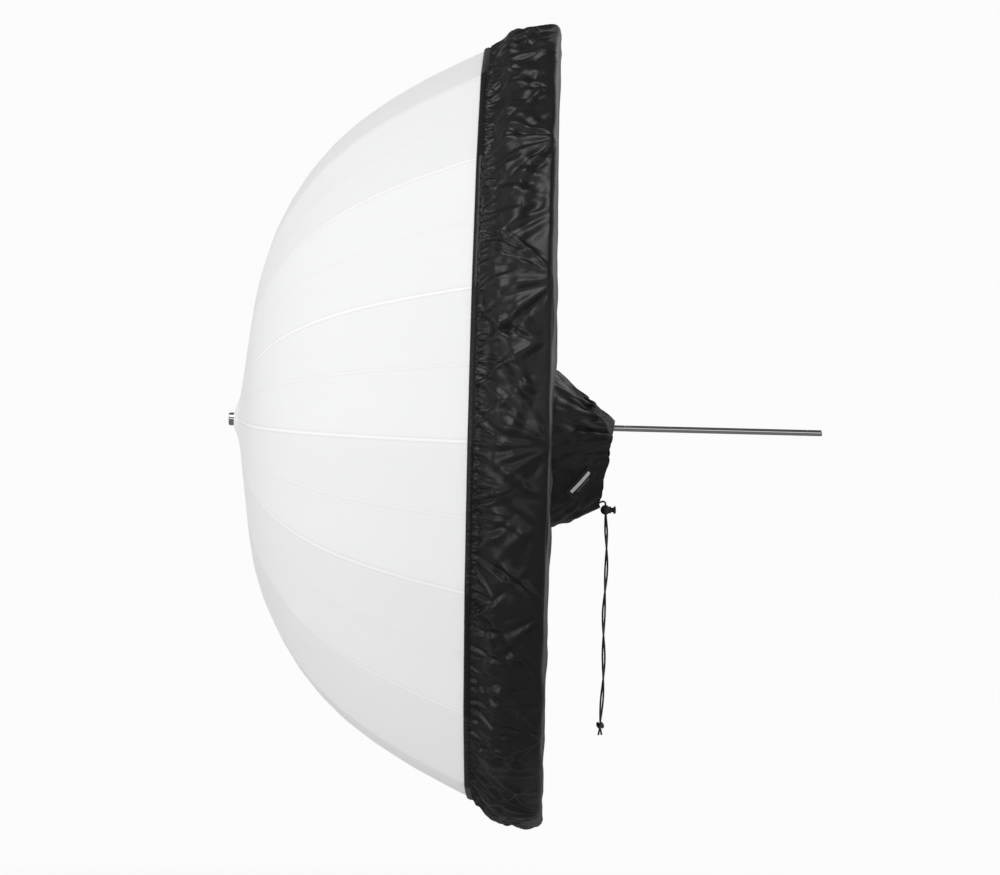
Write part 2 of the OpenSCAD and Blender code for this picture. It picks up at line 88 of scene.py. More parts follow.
class Nodes:
    """Short calls for building a shader in an empty node tree."""

    def __init__(self, owner):
        owner.use_nodes = True
        self.tree = owner.node_tree
        self.tree.nodes.clear()

    def add(self, kind, inputs=None, **props):
        node = self.tree.nodes.new(kind)
        for key, value in props.items():
            setattr(node, key, value)
        for key, value in (inputs or {}).items():
            socket = node.inputs[key]
            if isinstance(value, bpy.types.NodeSocket):
                self.tree.links.new(value, socket)
            else:
                socket.default_value = value
        return node

    def math(self, operation, *values):
        return self.add("ShaderNodeMath", dict(enumerate(values)), operation=operation).outputs[0]

    def times(self, a, b):
        return self.math("MULTIPLY", a, b)

    def plus(self, a, b):
        return self.math("ADD", a, b)

    def minus(self, a, b):
        return self.math("SUBTRACT", a, b)

    def scaled(self, a, factor, offset):
        return self.math("MULTIPLY_ADD", a, factor, offset)

    def larger(self, a, b):
        return self.math("MAXIMUM", a, b)

    def size(self, a):
        return self.math("ABSOLUTE", a)

    def uv(self, layer):
        """A texture layer's vector, and its two parts."""
        vector = self.add("ShaderNodeUVMap", uv_map=layer).outputs[0]
        parts = self.add("ShaderNodeSeparateXYZ", {0: vector})
        return vector, parts.outputs[0], parts.outputs[1]

    def step(self, x, low, high):
        """0 below low, 1 above high, smooth between; low may be above high."""
        return self.add("ShaderNodeMapRange", {0: x, 1: low, 2: high, 3: 0.0, 4: 1.0},
                        interpolation_type="SMOOTHSTEP").outputs[0]

    def noise(self, vector, scale, detail, rough=0.5, distort=0.0):
        """Noise from 0 to 1; scale is one number, or one for each direction."""
        if isinstance(scale, tuple):
            vector = self.add("ShaderNodeVectorMath", {0: vector, 1: scale},
                              operation="MULTIPLY").outputs[0]
            scale = 1.0
        return self.add("ShaderNodeTexNoise", {"Vector": vector, "Scale": scale, "Detail": detail,
                                               "Roughness": rough, "Distortion": distort}).outputs[0]

    def weave(self, uv, pitch):
        """Over-and-under threads: the product of two sine waves, height 0 to 1."""
        parts = self.add("ShaderNodeSeparateXYZ", {0: uv})
        waves = [self.math("SINE", self.times(parts.outputs[i], 2 * math.pi / pitch)) for i in (0, 1)]
        return self.scaled(self.times(*waves), 0.5, 0.5)

    def stitches(self, across, along, place, pitch):
        """A row of thread dashes where the size of across is place."""
        line = self.step(self.size(self.minus(self.size(across), place)), 0.0007, 0.0003)
        dash = self.step(self.math("SINE", self.times(along, 2 * math.pi / pitch)), -0.5, -0.2)
        return self.times(line, dash)

    def mix(self, share, a, b):
        return self.add("ShaderNodeMix", {"Factor": share, 6: a, 7: b}, data_type="RGBA").outputs[2]

    def bump(self, height, strength, distance):
        return self.add("ShaderNodeBump", {"Height": height, "Strength": strength,
                                           "Distance": distance}).outputs[0]

    def principled(self, colour, rough, **inputs):
        """A principled surface; an underscore in an input's name stands for a space."""
        named = {key.replace("_", " "): value for key, value in inputs.items()}
        return self.add("ShaderNodeBsdfPrincipled",
                        {"Base Color": colour, "Roughness": rough, **named}).outputs[0]

    def glow(self, value):
        return self.add("ShaderNodeEmission", {0: grey(value), 1: 1.0}).outputs[0]

    def background(self, colour, strength):
        return self.add("ShaderNodeBackground", {0: colour, 1: strength}).outputs[0]

    def mix_shader(self, share, a, b):
        return self.add("ShaderNodeMixShader", {0: share, 1: a, 2: b}).outputs[0]

    def coordinates(self, kind="Object"):
        return self.add("ShaderNodeTexCoord").outputs[kind]

    def ray(self, kind):
        return self.add("ShaderNodeLightPath").outputs[f"Is {kind} Ray"]

    def finish(self, shader, output="ShaderNodeOutputMaterial"):
        self.add(output, {0: shader})


def grey(value, tint=(1, 1, 1)):
    return (*(value * part for part in tint), 1)


COOL = (0.98, 1, 1.03)

# ---------------------------------------------------------------- materials
# Distances and pitches on a cloth are in metres; steps run from where a feature fades to where it is full.


def white_cloth(n):
    """Translucent cloth: a doubled strip over each rib and a finer seam between two gores, each with a
    painted highlight along it and a painted shadow beside it.
    """
    uv, across, along = n.uv("cloth")
    edge = n.uv("edge")[1]
    from_rib = n.size(across)
    seam = n.step(from_rib, 0.0024, 0.0014)
    seam_painted_shadow = n.step(from_rib, 0.0050, 0.0026)
    gore_seam = n.step(edge, 0.0015, 0.0007)
    gore_painted_shadow = n.step(edge, 0.0036, 0.0016)
    thread = n.stitches(across, along, 0.0020, 0.0026)
    # painted shadow: a darker strip beside each rib seam and, fainter, beside each gore seam
    painted_shade = n.larger(n.times(seam_painted_shadow, 0.8), n.times(gore_painted_shadow, 0.5))
    # painted highlight: a pale line along each rib seam and, fainter, along each gore seam
    bright = n.larger(seam, n.times(gore_seam, 0.6))
    colour = n.mix(painted_shade, grey(0.925, (0.995, 1, 1)), grey(0.87))
    colour = n.mix(bright, colour, grey(0.985))
    colour = n.mix(n.times(thread, 0.25), colour, grey(0.75))
    cloudy = n.noise(uv, (9, 3, 1), 3.0, 0.55)
    colour = n.mix(n.times(cloudy, 0.07), colour, grey(0.8))
    pucker = n.noise(uv, (60, 9, 1), 2.0, 0.5, 0.3)
    near_seam = n.larger(n.step(from_rib, 0.045, 0.004), n.times(n.step(edge, 0.03, 0.002), 0.7))
    height = n.scaled(n.weave(uv, 0.0011), 0.12, n.times(seam, 0.8))
    height = n.plus(height, n.times(gore_seam, 0.7))
    height = n.minus(height, n.times(thread, 0.5))
    height = n.plus(height, n.times(n.times(pucker, near_seam), 1.6))
    normal = n.bump(height, 0.45, 0.0006)
    face = n.principled(colour, 0.5, Specular_IOR_Level=0.3, Sheen_Weight=0.15, Sheen_Roughness=0.4,
                        Normal=normal)
    through = n.add("ShaderNodeBsdfTranslucent", {"Color": colour, "Normal": normal}).outputs[0]
    n.finish(n.mix_shader(n.minus(0.12, n.times(seam, 0.03)), face, through))


def black_cloth(n):
    """Thin coated cloth, puckered at the hem and the mouth, with a stitched casing at each."""
    uv, around, along = n.uv("cloth")
    hem, mouth = n.uv("edge")[1:]
    pleat = n.noise(uv, (210, 22, 1), 2.0, 0.5, 0.4)
    near_edge = n.larger(n.step(hem, 0.040, 0.010), n.step(mouth, 0.045, 0.010))
    crumple = n.noise(uv, (16, 16, 1), 4.0, 0.62, 0.6)
    crease = n.step(n.size(n.minus(n.noise(uv, (9, 12, 1), 3.0, 0.5, 0.8), 0.5)), 0.035, 0.0)
    casing = n.larger(n.step(hem, 0.0096, 0.0086), n.step(mouth, 0.0096, 0.0086))
    thread = n.larger(n.stitches(hem, around, 0.0084, 0.0030), n.stitches(mouth, around, 0.0084, 0.0030))
    height = n.times(pleat, n.times(near_edge, 2.2))
    height = n.scaled(crumple, 0.9, height)
    height = n.minus(height, n.times(crease, 0.25))
    height = n.scaled(n.weave(uv, 0.0012), 0.08, height)
    height = n.minus(height, n.times(thread, 0.6))
    dust = n.noise(uv, (40, 40, 1), 5.0, 0.7)
    colour = n.mix(n.times(casing, 0.5), grey(0.010, COOL), grey(0.006))
    colour = n.mix(n.times(n.step(dust, 0.55, 0.8), 0.25), colour, grey(0.03))
    colour = n.mix(n.times(thread, 0.6), colour, grey(0.004))
    n.finish(n.principled(colour, n.scaled(crumple, 0.14, 0.27), Specular_IOR_Level=0.33,
                          Normal=n.bump(height, 0.6, 0.001)))


def chrome(n):
    """Bright plating with streaks along the tube and a few dull smudges."""
    place = n.coordinates()
    streak = n.noise(place, (2, 260, 260), 1.0)
    smudge = n.noise(place, (40, 40, 40), 3.0)
    rough = n.scaled(n.step(smudge, 0.45, 0.75), 0.08, 0.07)
    n.finish(n.principled(grey(0.7, (0.99, 1, 1.01)), n.scaled(streak, 0.03, rough), Metallic=1.0))


def black_moulding(n):
    """Grained plastic, paler where it is worn."""
    place = n.coordinates()
    grain = n.noise(place, 1800.0, 2.0, 0.6)
    wear = n.noise(place, 90.0, 4.0, 0.6)
    colour = n.mix(n.step(wear, 0.55, 0.8), grey(0.022), grey(0.05))
    n.finish(n.principled(colour, n.scaled(wear, 0.2, 0.33), Normal=n.bump(grain, 0.35, 0.0001)))


def glass_fibre(n):
    """Pale resin with darker fibres in it."""
    place = n.coordinates()
    fibre = n.noise(place, (700, 700, 700), 3.0, 0.6, 1.0)
    tone = n.noise(place, 25.0, 3.0)
    colour = n.mix(tone, grey(0.62, (1, 1, 0.96)), grey(0.78, (1, 1, 0.97)))
    colour = n.mix(n.times(fibre, 0.25), colour, grey(0.45))
    n.finish(n.principled(colour, 0.32, Normal=n.bump(fibre, 0.15, 0.0001)))


def plated_steel(n):
    """Brushed steel with a spotted finish."""
    place = n.coordinates()
    brush = n.noise(place, 600.0, 3.0, 0.6)
    spots = n.noise(place, 60.0, 4.0, 0.7)
    n.finish(n.principled(n.mix(spots, grey(0.48), grey(0.66, COOL)), n.scaled(spots, 0.22, 0.2),
                          Metallic=1.0, Normal=n.bump(brush, 0.08, 0.0001)))


def black_cord(n):
    """A round braid: two families of strands that wind in opposite directions."""
    _, around, along = n.uv("cloth")
    turns = n.times(around, 6.0)
    rise = n.times(along, 420.0)
    right, left = (n.math("SINE", n.times(angle, 2 * math.pi))
                   for angle in (n.plus(turns, rise), n.minus(turns, rise)))
    braid = n.larger(right, left)
    # painted shade: the cord is darker in the grooves between strands and paler on their crowns, following
    # the braid's height
    colour = n.mix(n.step(braid, -0.2, 0.9), grey(0.008), grey(0.03))
    n.finish(n.principled(colour, 0.62, Sheen_Weight=0.3, Normal=n.bump(braid, 0.5, 0.0003)))


def label_cloth(n):
    """A woven label with a border, one plain pale bar and one thin line under it."""
    uv, x, y = n.uv("cloth")
    far_x = n.size(x)
    threads = n.weave(uv, 0.0007)
    border = n.larger(n.step(far_x, 0.0204, 0.0208), n.step(n.size(y), 0.0076, 0.0080))
    bar = n.times(n.step(far_x, 0.0180, 0.0176), n.step(n.size(n.minus(y, 0.0018)), 0.0028, 0.0025))
    line = n.times(n.step(far_x, 0.0120, 0.0116), n.step(n.size(n.plus(y, 0.0046)), 0.0008, 0.0005))
    colour = n.mix(bar, grey(0.012), grey(0.62))
    colour = n.mix(line, colour, grey(0.16))
    colour = n.mix(border, colour, grey(0.03))
    colour = n.mix(n.times(threads, 0.25), colour, grey(0.02))
    n.finish(n.principled(colour, 0.55, Specular_IOR_Level=0.3, Normal=n.bump(threads, 0.5, 0.0002)))


def made(recipe):
    material = bpy.data.materials.new(recipe.__name__)
    recipe(Nodes(material))
    return material


MATERIALS = {recipe.__name__: made(recipe)
             for recipe in (white_cloth, black_cloth, chrome, black_moulding, glass_fibre, plated_steel,
                            black_cord, label_cloth)}

for subpart in frame["record"]["subparts"]:
    if subpart["material_slot"] in MATERIALS:
        for slot in frame["nodes"][subpart["node"]].material_slots:
            slot.material = MATERIALS[subpart["material_slot"]]

# ---------------------------------------------------------------- lines and grids


def lengths(points):
    """How far along the line each of its points is."""
    return np.r_[0, np.cumsum(np.linalg.norm(np.diff(points, axis=0), axis=1))]


def at_lengths(points, where):
    run = lengths(points)
    return np.column_stack([np.interp(where, run, points[:, c]) for c in range(points.shape[1])])


def smooth_line(points, reach):
    """points averaged over reach neighbours on each side, ends kept."""
    padded = np.vstack([2 * points[0] - points[reach:0:-1], points,
                        2 * points[-1] - points[-2:-reach - 2:-1]])
    weights = np.hanning(2 * reach + 3)[1:-1]
    weights /= weights.sum()
    return np.column_stack([np.convolve(padded[:, c], weights, "valid") for c in range(points.shape[1])])


def smooth_rise(x):
    """0 below 0, 1 above 1, with no corner at either."""
    x = np.clip(x, 0, 1)
    return x * x * (3 - 2 * x)


def radial(az):
    """Unit vectors away from the shaft."""
    return np.stack([np.zeros_like(az), np.sin(az), np.cos(az)], -1)


def turned_points(x, rho, az):
    """Points from their place along the shaft, their distance from it and their angle round it."""
    return np.stack([x, rho * np.sin(az), rho * np.cos(az)], -1)


def grid_faces(rows, cols, closed):
    """Four-sided faces between the rows and columns of a grid."""
    row = np.arange(rows - 1)[:, None] * cols
    col = np.arange(cols if closed else cols - 1)[None, :]
    beside = (col + 1) % cols
    return np.stack([row + col, row + beside, row + cols + beside, row + cols + col], -1).reshape(-1, 4)


def vertex_normals(points, faces):
    corners = points[faces]
    face_normals = np.cross(corners[:, 2] - corners[:, 0], corners[:, 3] - corners[:, 1])
    out = np.zeros_like(points)
    for c in range(4):
        np.add.at(out, faces[:, c], face_normals)
    return out / np.maximum(np.linalg.norm(out, axis=1), 1e-12)[:, None]


class Cloth:
    """A cloth closed round the shaft: points row by row, and where each lies on the flat cloth."""

    def __init__(self, grid, layers):
        self.rows, self.cols = grid.shape[:2]
        self.points = grid.reshape(-1, 3)
        self.layers = layers
        self.faces = grid_faces(self.rows, self.cols, True)

    def normals(self):
        """Unit normals on the side away from the inside of the umbrella."""
        normals = vertex_normals(self.points, self.faces)
        probe = len(self.points) // 4
        inward = normals[probe] @ (self.points[probe] * (0, 1, 1)) < 0
        return -normals if inward else normals

    def raise_by(self, height):
        self.points = self.points + self.normals() * height.reshape(-1, 1)

    def piece(self, name, normals, row0, row1, col0, col1, slot):
        """The part between two rows and two columns, as an object."""
        row = np.arange(row0, row1 + 1)
        col = np.arange(col0, col1 + 1)
        index = (row[:, None] * self.cols + (col % self.cols)[None, :]).ravel()
        layers = {key: values[index] for key, values in self.layers.items()}
        last = np.arange(len(index)) % len(col) == len(col) - 1
        layers["cloth"][last, 0] = self.far_side(layers["cloth"][last, 0], col1)
        return make_mesh(name, self.points[index], grid_faces(len(row), len(col), False),
                         normals[index], layers, slot)

    def far_side(self, across, col):
        """The first layer on a piece's last column, which is also the next piece's first column."""
        return across + ROUND if col == self.cols else across


class Gores(Cloth):
    """A cloth whose first layer is measured from the middle of each gore."""

    def far_side(self, across, col):
        return -across


def make_mesh(name, points, faces, normals, layers, material):
    if (vertex_normals(points, faces) * normals).sum() < 0:
        faces = faces[:, ::-1]
    mesh = bpy.data.meshes.new(name)
    mesh.from_pydata(points.tolist(), [], faces.tolist())
    corner = np.zeros(len(mesh.loops), np.int32)
    mesh.loops.foreach_get("vertex_index", corner)
    for layer, values in layers.items():
        uv = mesh.uv_layers.new(name=layer)
        uv.data.foreach_set("uv", values[corner].astype(np.float32).ravel())
    mesh.polygons.foreach_set("use_smooth", np.ones(len(mesh.polygons), bool))
    mesh.materials.append(MATERIALS[material])
    mesh.normals_split_custom_set_from_vertices(normals.tolist())
    mesh.update()
    return placed(name, mesh)


def placed(name, data):
    """A new object in the scene."""
    made_object = bpy.data.objects.new(name, data)
    bpy.context.scene.collection.objects.link(made_object)
    return made_object


# ---------------------------------------------------------------- canopy
GORE_COLS = 24
CROWN_ROW, INNER_ROW, KNEE_ROW, CANOPY_ROWS = 4, 11, 40, 97
STRAIGHT = 0.8     # how nearly straight the taut cloth runs from rib to rib
SEAM_RISE = 0.0005
# name, body, first and last row, and the share of its width each should keep when folded, which is not used
# beyond telling the nose from the rest;
# the nose, clamped round the shaft, is baked in place and follows no body
CANOPY_PIECES = (("canopy_nose", "rib_inner", 0, CROWN_ROW, None),
                 ("canopy_crown", "rib_inner", CROWN_ROW, INNER_ROW, 0.5),
                 ("canopy_inner", "rib_inner", INNER_ROW, KNEE_ROW, 0.3),
                 ("canopy_outer", "rib_outer", KNEE_ROW, CANOPY_ROWS - 1, 0.17))


def canopy_profile():
    """The CAD canopy's outer face along a rib, as (x, rho), read with rays from the rim's centre."""
    skin = frame["nodes"]["canopy"].data
    tree = BVHTree.FromPolygons([v.co[:] for v in skin.vertices], [p.vertices[:] for p in skin.polygons])
    az = FIRST_AZ + 0.0008
    centre = Vector((RIM_X, 0, 0))
    line = []
    for turn in np.radians(np.linspace(0.0, 90.0, 361)):
        out = Vector((-math.cos(turn), math.sin(turn) * math.sin(az), math.sin(turn) * math.cos(az)))
        hit = tree.ray_cast(centre + out * 2, -out)[0]
        if hit is not None and (hit - centre).dot(out) > 0.1:
            line.append((hit.x, math.hypot(hit.y, hit.z)))
    return smooth_line(np.array(line), 9)


PROFILE = canopy_profile()


def dip(off):
    """How far a straight line between two ribs drops inside their circle, as a share of its
    radius, at an angle off the nearer rib."""
    return 1 - np.cos(PITCH / 2) / np.cos(PITCH / 2 - np.abs(off))


def off_rib(az):
    return (az - FIRST_AZ + PITCH / 2) % PITCH - PITCH / 2


def canopy_radius(x, az):
    return np.interp(x, PROFILE[:, 0], PROFILE[:, 1]) * (1 - STRAIGHT * dip(off_rib(az)))


def column_azimuths(cols):
    """Angles of cols columns, the first on the middle line of the gore before rib 1."""
    return FIRST_AZ + (np.arange(cols) * RIB_COUNT / cols - 0.5) * PITCH


def canopy_cloth():
    run = lengths(PROFILE)
    to_knee = np.hypot(PROFILE[:, 0] - KNEE[0], PROFILE[:, 1] - math.hypot(KNEE[1], KNEE[2]))
    knee_run = run[np.argmin(to_knee)]
    row_run = np.r_[np.linspace(0, knee_run, KNEE_ROW + 1),
                    np.linspace(knee_run, run[-1], CANOPY_ROWS - KNEE_ROW)[1:]]
    cols = RIB_COUNT * GORE_COLS
    rib_line = at_lengths(PROFILE, row_run)
    along, off = np.meshgrid(row_run, (np.arange(cols) % GORE_COLS / GORE_COLS - 0.5) * PITCH,
                             indexing="ij")
    rho = rib_line[:, 1:] * (1 - STRAIGHT * dip(off) * np.clip((along - 0.03) / 0.1, 0, 1))
    x = np.repeat(rib_line[:, :1], cols, 1)
    across = off * rho
    edge = (PITCH / 2 - np.abs(off)) * rho
    cloth = Gores(turned_points(x, rho, column_azimuths(cols)),
                  {"cloth": np.column_stack([across.ravel(), along.ravel()]),
                   "edge": np.column_stack([edge.ravel(), along.ravel()])})
    return cloth, SEAM_RISE * np.exp(-(across / 0.0022) ** 2)


def build_canopy():
    cloth, seams = canopy_cloth()
    normals = cloth.normals()
    cloth.raise_by(seams)
    for i in RIBS:
        col0 = (i - 1) * GORE_COLS
        for name, body, row0, row1, keep in CANOPY_PIECES:
            piece = cloth.piece(f"{name}_{i:02d}", normals, row0, row1, col0, col0 + GORE_COLS,
                                "white_cloth")
            if keep is None:
                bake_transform(piece)
            else:
                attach(piece, f"{body}_{i:02d}")
                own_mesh(piece)
            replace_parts(piece, "canopy")


build_canopy()

# ---------------------------------------------------------------- back panel, cut and draped
RIB_COLS = 16
PANEL_COLS = RIB_COUNT * RIB_COLS
RIM_ROWS, DISC_ROWS, SLEEVE_ROWS = 26, 22, 18    # hem to rear corner, flat back, sleeve
PANEL_ROWS = RIM_ROWS + 1 + DISC_ROWS + SLEEVE_ROWS
SPLIT = RIM_ROWS - 6       # the row where the pieces on the ribs meet the rear ones
CASING = 0.009             # width of the hem round the elastic, and round the cord
HEM_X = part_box("back_panel")[0].x
RIM_R = -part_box("back_panel")[0].z
ROUND = 2 * math.pi * RIM_R
DISC_X = TIP_X + 0.0155
CORNER_X = DISC_X - 0.003
BASE_R, BASE_Z = 0.105, -0.028     # circle where the sleeve leaves the flat back
MOUTH_R = 0.056
MOUTH_ROUND = 2 * math.pi * MOUTH_R
MOUTH_TILT = math.radians(9.7)
MOUTH_X, _, MOUTH_Z = next(mount for mount in frame["record"]["mounts"]
                           if mount["name"] == "lamp_sleeve")["pos_m"]
SLEEVE_BULGE = 0.003
# spare cloth round each row, as a share of its length: at the hem, along the rim, on the disc
# and at the mouth; and the length of the cut band for each length of the draped one
SPARE = (1.09, 1.07, 1.03, 0.996, 1.0, 1.0, 1.01, 1.02)
TAUT = 0.985
DRAPE_FRAMES = 40
HELD_HEM, HELD_MOUTH = 2, 3        # rows held still while the cloth drapes
BAND_CLEAR = 0.0022                # least distance of the band from the canopy
BUCKLE = 0.004                     # unevenness the cloth starts from
# how straight the rows run from rib tip to rib tip, at the hem, part of the way along and at the corner
SAG_PLACES, SAG_SHARES = (0, 0.4, 1), (0.9, 0.35, 0.4)


def panel_rows():
    """(x, rho) of the turned part of the panel: hem, rim band, rear disc."""
    hem_rho = float(np.interp(HEM_X, PROFILE[:, 0], PROFILE[:, 1]))
    keys = np.array([
        (HEM_X, hem_rho + 0.0012), (HEM_X + 0.010, hem_rho + 0.0055), (HEM_X + 0.021, hem_rho + 0.0150),
        (HEM_X + 0.036, RIM_R - 0.0125), (HEM_X + 0.058, RIM_R - 0.0060),
        (HEM_X + 0.080, RIM_R - 0.0035), (DISC_X - 0.007, RIM_R - 0.0025),
        (DISC_X - 0.0015, RIM_R - 0.0065), (DISC_X, RIM_R - 0.015), (DISC_X, RIM_R - 0.040)])
    dense = smooth_line(at_lengths(keys, np.linspace(0, lengths(keys)[-1], 200)), 5)
    rim = at_lengths(dense, np.linspace(0, lengths(dense)[-1], RIM_ROWS + 1))
    inner = np.linspace(rim[-1, 1], BASE_R * 1.12, DISC_ROWS + 1)[1:]
    return np.vstack([rim, np.column_stack([np.full(len(inner), DISC_X), inner])])


def on_circle(az, z_centre, radius):
    """rho at each azimuth of a circle in a plane across the shaft, its centre z_centre above it."""
    along = np.cos(az) * z_centre
    return along + np.sqrt(radius ** 2 - z_centre ** 2 + along ** 2)


def panel_grid(rows, az):
    """The panel's cut shape, row by row from the hem over the rim to the sleeve's mouth."""
    grid = np.zeros((PANEL_ROWS, len(az), 3))
    sag = dip(off_rib(az))
    for r, (x, rho) in enumerate(rows):
        if r <= RIM_ROWS:
            ring = rho * (1 - sag * np.interp(r / RIM_ROWS, SAG_PLACES, SAG_SHARES))
        else:
            share = (r - RIM_ROWS) / DISC_ROWS
            ring = (rows[RIM_ROWS, 1] * (1 - sag * SAG_SHARES[-1]) * (1 - share)
                    + on_circle(az, BASE_Z, BASE_R) * share)
        grid[r] = turned_points(np.full(len(az), x), ring, az)
    for k in range(SLEEVE_ROWS):
        share = (k + 1) / SLEEVE_ROWS
        z_centre = BASE_Z + (MOUTH_Z - BASE_Z) * share
        bulge = SLEEVE_BULGE * math.sin(math.pi * share ** 1.4)
        ring = on_circle(az, z_centre, BASE_R + (MOUTH_R - BASE_R) * share + bulge)
        lean = (ring * np.cos(az) - z_centre) * math.tan(MOUTH_TILT)
        x = DISC_X + (MOUTH_X - DISC_X + lean) * share
        grid[RIM_ROWS + DISC_ROWS + 1 + k] = turned_points(x, ring, az)
    return grid


def spare_shape(grid):
    """The same panel before it is gathered: each row longer round by its spare cloth, no longer along."""
    disc_end = RIM_ROWS + DISC_ROWS
    spare = np.interp(np.arange(PANEL_ROWS),
                      [0, RIM_ROWS * 0.35, RIM_ROWS * 0.72, RIM_ROWS, RIM_ROWS + 5, disc_end - 3,
                       disc_end + 4, PANEL_ROWS - 1], SPARE)
    centre = grid.mean(axis=1, keepdims=True)
    out = centre + (grid - centre) * spare[:, None, None]
    run = np.linalg.norm(np.diff(grid, axis=0), axis=2).mean(axis=1)
    rho = np.hypot(out[..., 1], out[..., 2]).mean(axis=1)
    for r in range(1, RIM_ROWS + 1):
        level = (run[r - 1] * TAUT) ** 2 - (rho[r] - rho[r - 1]) ** 2
        out[r, :, 0] = out[r - 1, :, 0].mean() + math.sqrt(max(1e-7, level))
    out[RIM_ROWS + 1:, :, 0] += out[RIM_ROWS, 0, 0] - grid[RIM_ROWS, 0, 0]
    return out


def smooth_round(grid):
    """Each point averaged with its neighbours in its row."""
    return (2 * grid + np.roll(grid, 1, 1) + np.roll(grid, -1, 1)) / 4


def smooth_along(grid):
    """Each point averaged with its neighbours in its column, first and last row kept."""
    out = grid.copy()
    out[1:-1] = (2 * grid[1:-1] + grid[:-2] + grid[2:]) / 4
    return out


def held_points(rows):
    """Hem, mouth and the places where the rib tips carry the panel."""
    ends = [*range(HELD_HEM), *range(PANEL_ROWS - HELD_MOUTH, PANEL_ROWS)]
    held = [r * PANEL_COLS + c for r in ends for c in range(PANEL_COLS)]
    tip_row, corner_row = (int(np.argmin(np.abs(rows[:RIM_ROWS, 0] - x))) for x in (TIP_X, CORNER_X))
    for i in range(RIB_COUNT):
        held += [r * PANEL_COLS + i * RIB_COLS + RIB_COLS // 2 for r in range(tip_row, corner_row + 1)]
    return held


def drape(grid, rows):
    """Lets the panel's spare cloth buckle between its hem, the rib tips and the sleeve mouth."""
    faces = grid_faces(PANEL_ROWS, PANEL_COLS, True)
    noise = rng.normal(size=grid.shape[:2])
    for _ in range(2):
        noise = smooth_along(smooth_round(noise))
    noise[:HELD_HEM] = 0
    noise[-HELD_MOUTH:] = 0
    normals = vertex_normals(grid.reshape(-1, 3), faces).reshape(grid.shape)
    mesh = bpy.data.meshes.new("drape")
    start = grid + normals * noise[..., None] * BUCKLE
    mesh.from_pydata(start.reshape(-1, 3).tolist(), [], faces.tolist())
    sheet = placed("drape", mesh)
    sheet.shape_key_add(name="gathered")
    cut = sheet.shape_key_add(name="cut")
    cut.data.foreach_set("co", spare_shape(grid).astype(np.float32).ravel())
    sheet.vertex_groups.new(name="pin").add(held_points(rows), 1.0, "REPLACE")
    modifier = sheet.modifiers.new("cloth", "CLOTH")
    cloth = modifier.settings
    cloth.quality = 7
    cloth.mass = 0.02
    cloth.tension_stiffness = 15
    cloth.compression_stiffness = 15
    cloth.shear_stiffness = 5
    cloth.bending_stiffness = 0.3
    cloth.tension_damping = 6
    cloth.compression_damping = 6
    cloth.air_damping = 2.5
    cloth.vertex_group_mass = "pin"
    cloth.rest_shape_key = cut
    cloth.effector_weights.gravity = 0.12
    modifier.collision_settings.use_collision = False
    modifier.point_cache.frame_end = DRAPE_FRAMES
    for moment in range(1, DRAPE_FRAMES + 1):
        bpy.context.scene.frame_set(moment)
    result = sheet.evaluated_get(bpy.context.evaluated_depsgraph_get()).to_mesh()
    points = np.zeros(len(result.vertices) * 3, np.float32)
    result.vertices.foreach_get("co", points)
    bpy.context.scene.frame_set(1)
    bpy.data.objects.remove(sheet)
    return points.reshape(grid.shape).astype(float)


def settle(draped, grid):
    """Keeps the folds but brings each band row back to its cut radius, and off the canopy."""
    draped = grid + smooth_along(smooth_round(smooth_round(draped - grid)))
    az = np.arctan2(draped[..., 1], draped[..., 2])
    rho = np.hypot(draped[..., 1], draped[..., 2])
    sunk = (np.hypot(grid[..., 1], grid[..., 2]) - rho).mean(axis=1, keepdims=True)
    on_band = np.clip((RIM_ROWS - 1 - np.arange(PANEL_ROWS)) / 4, 0, 1)[:, None]
    rho = rho + sunk * on_band
    rho = rho + np.maximum(0.0, canopy_radius(draped[..., 0], az) + BAND_CLEAR - rho) * on_band
    return turned_points(draped[..., 0], rho, az)


# ---------------------------------------------------------------- folds and gathers
FOLD_RISE = 0.0031
FOLD_SPAN = 0.2            # how far round the rim one fold can reach
TIP_FOLDS, LOOSE_FOLDS = 9, 8
TIP_SPREAD, HEM_SPREAD = 0.008, 0.095      # half the width of a fan at the rib tip and at the hem
LOOSE_START, LOOSE_SPAN = 0.025, 0.155     # where the looser folds lie between two tips
EVEN_OUT = 0.7             # how much of each row's mean height is taken off again


def gathers(around, along, length, spacing, reach, width, rise, slant, even=0.5):
    """Heights of pleats that start at along 0, each with its own place, width, slant and reach."""
    height = np.zeros_like(along)
    place = 0.0
    while place < length:
        narrow = rng.uniform(*width)
        far = rng.uniform(*reach)
        tall = rng.uniform(*rise)
        lean = rng.normal() * slant
        bow = rng.normal() * slant * 0.5
        off = (around - place - lean * along - bow * along ** 2 / far + length / 2) % length - length / 2
        wide = narrow * (1 + 0.5 * along / far)
        ridge = np.exp(-(off / wide) ** 2) - 0.7 * np.exp(-((off - 1.5 * wide) / (0.6 * wide)) ** 2)
        height += tall * np.clip(1 - along / far, 0, 1) ** 0.6 * ridge
        place += spacing * (1 + rng.uniform(-even, even))
    return height


def fold(around, along, start, end, width, rise, length):
    """Height of one ridge with a valley beside it, from start to end on the cloth, widening as it goes."""
    way = np.array(end) - np.array(start)
    size = np.hypot(*way)
    u = (around - start[0] + length / 2) % length - length / 2
    v = along - start[1]
    share = (u * way[0] + v * way[1]) / size ** 2
    side = (u * way[1] - v * way[0]) / size
    side = side + 0.10 * size * np.sin(math.pi * share) * (rise / FOLD_RISE - 0.5)
    wide = width * (0.45 + 0.9 * np.clip(share, 0, 1))
    body = smooth_rise(np.clip(share / 0.25, 0, 1) * np.clip((1 - share) / 0.35, 0, 1))
    return rise * body * (np.exp(-(side / wide) ** 2) - 0.55 * np.exp(-((side - 1.7 * wide) / wide) ** 2))


